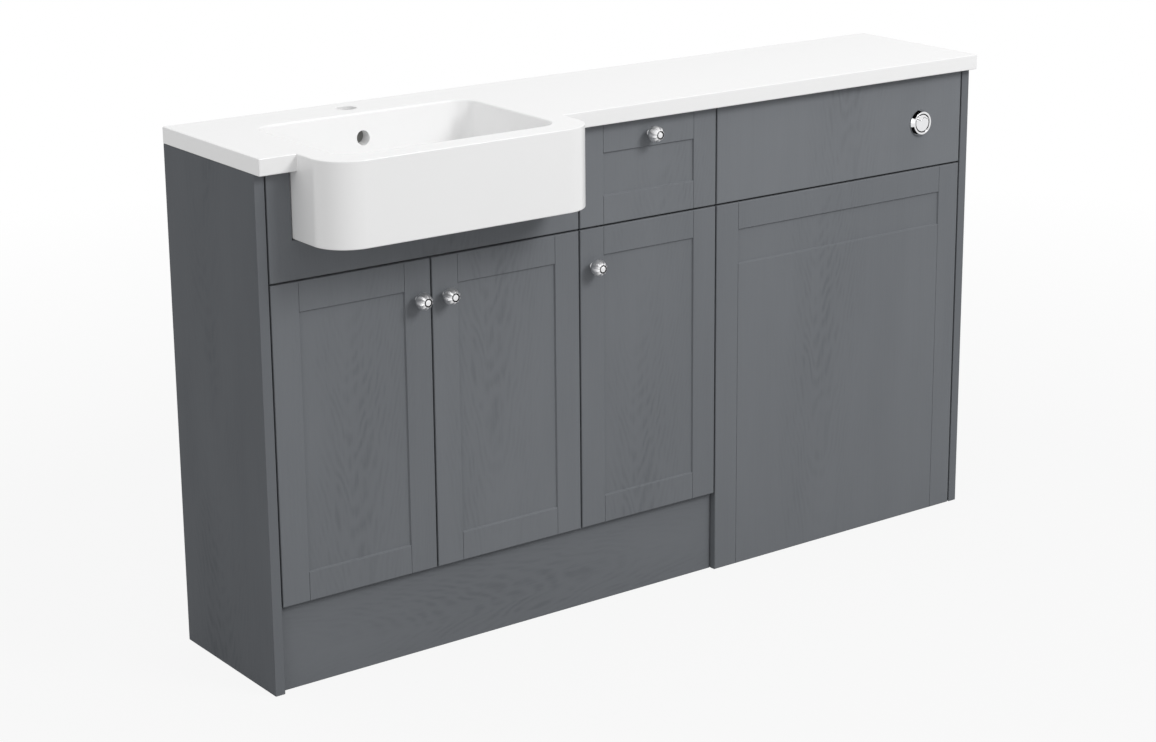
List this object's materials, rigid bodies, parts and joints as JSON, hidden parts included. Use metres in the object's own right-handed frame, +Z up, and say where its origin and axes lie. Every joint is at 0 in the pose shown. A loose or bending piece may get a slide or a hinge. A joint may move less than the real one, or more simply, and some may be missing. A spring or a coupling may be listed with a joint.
{
  "type": "toilet and basin combination unit",
  "caption": "Fitted bathroom run: basin unit with two doors, narrow drawer unit and concealed-cistern toilet unit under a one-piece top with a semi-recessed basin.",
  "frame": {"origin": "on the floor, in the middle of the overall width and depth", "axes": "+X along the run, to the right seen from the room; +Y towards the wall; +Z up"},
  "size_m": [1.538, 0.424, 0.898],
  "materials": {
    "grey_front": "matt grey foil with an embossed ash grain on board",
    "carcass_board": "light melamine-faced board",
    "drawer_board": "white-faced drawer board",
    "white_cast": "gloss white gel coat on cast mineral resin",
    "pewter": "polished pewter-toned metal",
    "chrome": "polished chrome",
    "zinc_steel": "zinc-plated pressed steel",
    "black_plastic": "moulded black plastic",
    "white_plastic": "moulded white plastic",
    "cistern_plastic": "moulded off-white plastic",
    "blue_plastic": "moulded blue plastic",
    "hose_rubber": "flexible grey-black hose"
  },
  "bodies": {
    "carcass": {"end_panel_left": "grey_front", "end_panel_right": "grey_front", "basin_top": "white_cast", "basin_unit_sides": "carcass_board", "basin_unit_base": "carcass_board", "basin_unit_rails": "carcass_board", "basin_unit_shelf": "carcass_board", "basin_fascia": "grey_front", "drawer_unit_sides": "carcass_board", "drawer_unit_base": "carcass_board", "drawer_unit_back": "carcass_board", "drawer_unit_rails": "carcass_board", "drawer_unit_shelf": "carcass_board", "wc_unit_sides": "carcass_board", "wc_unit_front_rails": "carcass_board", "wc_unit_rear_rails": "carcass_board", "wc_access_panel": "grey_front", "wc_front_panel": "grey_front", "plinth": "grey_front", "adjustable_legs": "black_plastic", "plinth_clips": "black_plastic", "shelf_pins": "zinc_steel", "hinge_arms": "zinc_steel", "hinge_plates": "zinc_steel", "runner_outer": "zinc_steel", "flush_bezel": "chrome", "flush_nut": "white_plastic", "flush_hoses": "hose_rubber", "cistern_tank": "cistern_plastic", "cistern_lid": "cistern_plastic", "fixing_brackets": "zinc_steel", "fill_valve": "white_plastic", "flush_valve": "white_plastic", "flush_pipe": "white_plastic"},
    "left_door": {"door_left": "grey_front", "knob_left": "pewter", "knob_screw_left": "zinc_steel", "hinge_cups_left": "zinc_steel"},
    "right_door": {"door_right": "grey_front", "knob_right": "pewter", "knob_screw_right": "zinc_steel", "hinge_cups_right": "zinc_steel"},
    "narrow_door": {"door_narrow": "grey_front", "knob_narrow": "pewter", "knob_screw_narrow": "zinc_steel", "hinge_cups_narrow": "zinc_steel"},
    "drawer": {"drawer_front": "grey_front", "knob_drawer": "pewter", "knob_screw_drawer": "zinc_steel", "drawer_box_walls": "drawer_board", "drawer_box_base": "drawer_board", "runner_inner": "zinc_steel"},
    "runner_slide": {"runner_middle": "zinc_steel"},
    "full_flush": {"flush_button_full": "chrome"},
    "half_flush": {"flush_button_half": "chrome"},
    "float": {"fill_float": "blue_plastic"},
    "piston": {"flush_piston": "blue_plastic"}
  },
  "joints": [
    {"name": "left_door_hinge", "type": "hinge", "parent": "carcass", "child": "left_door", "pos_m": [-0.741, -0.082, 0.41925], "axis": [0, 0, -1], "range_deg": [0, 95]},
    {"name": "right_door_hinge", "type": "hinge", "parent": "carcass", "child": "right_door", "pos_m": [-0.1575, -0.082, 0.41925], "axis": [0, 0, 1], "range_deg": [0, 95]},
    {"name": "narrow_door_hinge", "type": "hinge", "parent": "carcass", "child": "narrow_door", "pos_m": [0.1425, -0.082, 0.41925], "axis": [0, 0, 1], "range_deg": [0, 95]},
    {"name": "drawer_slide", "type": "slide", "parent": "carcass", "child": "drawer", "axis": [0, -1, 0], "range_m": [0, 0.2]},
    {"name": "runner_middle_slide", "type": "slide", "parent": "carcass", "child": "runner_slide", "axis": [0, -1, 0], "range_m": [0, 0.1]},
    {"name": "full_flush_press", "type": "slide", "parent": "carcass", "child": "full_flush", "axis": [0, 1, 0], "range_m": [0, 0.005], "stiffness_N_per_m": 500, "springref_m": -0.004},
    {"name": "half_flush_press", "type": "slide", "parent": "carcass", "child": "half_flush", "axis": [0, 1, 0], "range_m": [0, 0.005], "stiffness_N_per_m": 500, "springref_m": -0.004},
    {"name": "float_rise", "type": "slide", "parent": "carcass", "child": "float", "axis": [0, 0, 1], "range_m": [0, 0.18]},
    {"name": "piston_lift", "type": "slide", "parent": "carcass", "child": "piston", "axis": [0, 0, 1], "range_m": [0, 0.015]}
  ],
  "couplings": [
    {"joint": "runner_middle_slide", "follows": "drawer_slide", "ratio": 0.5},
    {"joint": "piston_lift", "follows": "full_flush_press", "ratio": 3}
  ]
}
